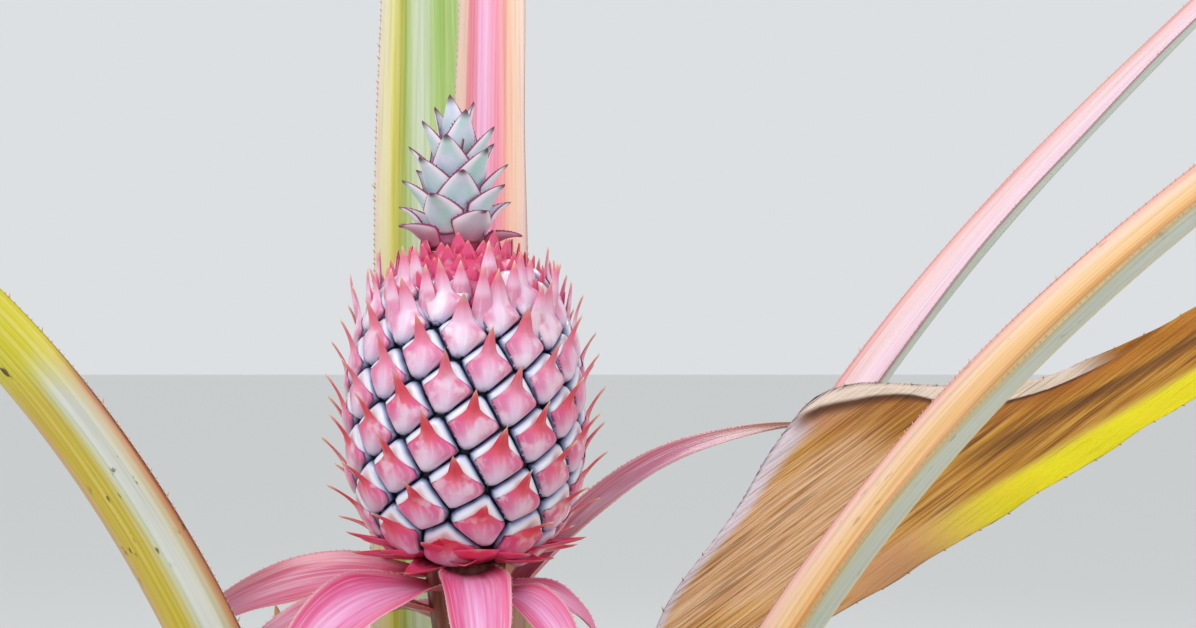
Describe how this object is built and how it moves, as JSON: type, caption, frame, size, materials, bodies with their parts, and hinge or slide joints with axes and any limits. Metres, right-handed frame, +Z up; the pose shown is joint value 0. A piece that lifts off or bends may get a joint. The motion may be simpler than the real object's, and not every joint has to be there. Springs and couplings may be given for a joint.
{
  "type": "pineapple plant",
  "caption": "Fruiting pineapple plant rooted in the ground: a rosette of long spiny-edged leaves round a stalk with pink bracts and a young pink fruit under its grey-green crown.",
  "frame": {"origin": "on the ground, at the centre of the flat cut under the stem", "axes": "+Z up along the stem; -Y is the front, the side the picture was taken from; +X to its right"},
  "size_m": [1.2795, 1.4098, 1.0003],
  "materials": {
    "stem": "rough, with old leaf scars",
    "stalk": "matt",
    "fruit": "waxy, with glossy sepals",
    "crown": "matt, scurfy",
    "collar": "waxy",
    "green_leaf": "waxy above, scurfy below",
    "golden_leaf": "waxy above, scurfy below",
    "rosy_leaf": "waxy above, scurfy below",
    "dried_leaf": "dry, papery"
  },
  "bodies": {
    "root": {"collar_bract_1": "collar", "collar_bract_2": "collar", "collar_bract_3": "collar", "collar_bract_4": "collar", "collar_bract_5": "collar", "collar_bract_6": "collar", "collar_bract_7": "collar", "collar_bract_8": "collar", "collar_bract_9": "collar", "crown": "crown", "dried_leaf_23_lower": "dried_leaf", "dried_leaf_23_upper": "dried_leaf", "fruit": "fruit", "leaf_1": "green_leaf", "leaf_2_lower": "green_leaf", "leaf_2_upper": "green_leaf", "leaf_3": "green_leaf", "leaf_4": "green_leaf", "leaf_5_lower": "green_leaf", "leaf_5_upper": "green_leaf", "leaf_6_lower": "green_leaf", "leaf_6_upper": "green_leaf", "leaf_7": "green_leaf", "leaf_8": "green_leaf", "leaf_9_lower": "green_leaf", "leaf_9_upper": "green_leaf", "leaf_10": "green_leaf", "leaf_11": "green_leaf", "leaf_12": "green_leaf", "leaf_13_lower": "green_leaf", "leaf_13_upper": "green_leaf", "leaf_14": "green_leaf", "leaf_15": "green_leaf", "leaf_16": "green_leaf", "leaf_17_lower": "green_leaf", "leaf_17_upper": "green_leaf", "leaf_18": "green_leaf", "leaf_19": "green_leaf", "leaf_20_lower": "green_leaf", "leaf_20_upper": "green_leaf", "leaf_21": "golden_leaf", "leaf_22": "green_leaf", "leaf_24": "green_leaf", "leaf_25": "green_leaf", "leaf_26": "green_leaf", "leaf_27_lower": "golden_leaf", "leaf_27_middle": "golden_leaf", "leaf_27_upper": "golden_leaf", "leaf_28_lower": "rosy_leaf", "leaf_28_upper": "rosy_leaf", "leaf_29": "green_leaf", "leaf_30": "green_leaf", "leaf_31_lower": "rosy_leaf", "leaf_31_upper": "rosy_leaf", "leaf_32": "green_leaf", "leaf_33": "green_leaf", "leaf_34": "rosy_leaf", "stalk": "stalk", "stem": "stem"}
  },
  "joints": []
}
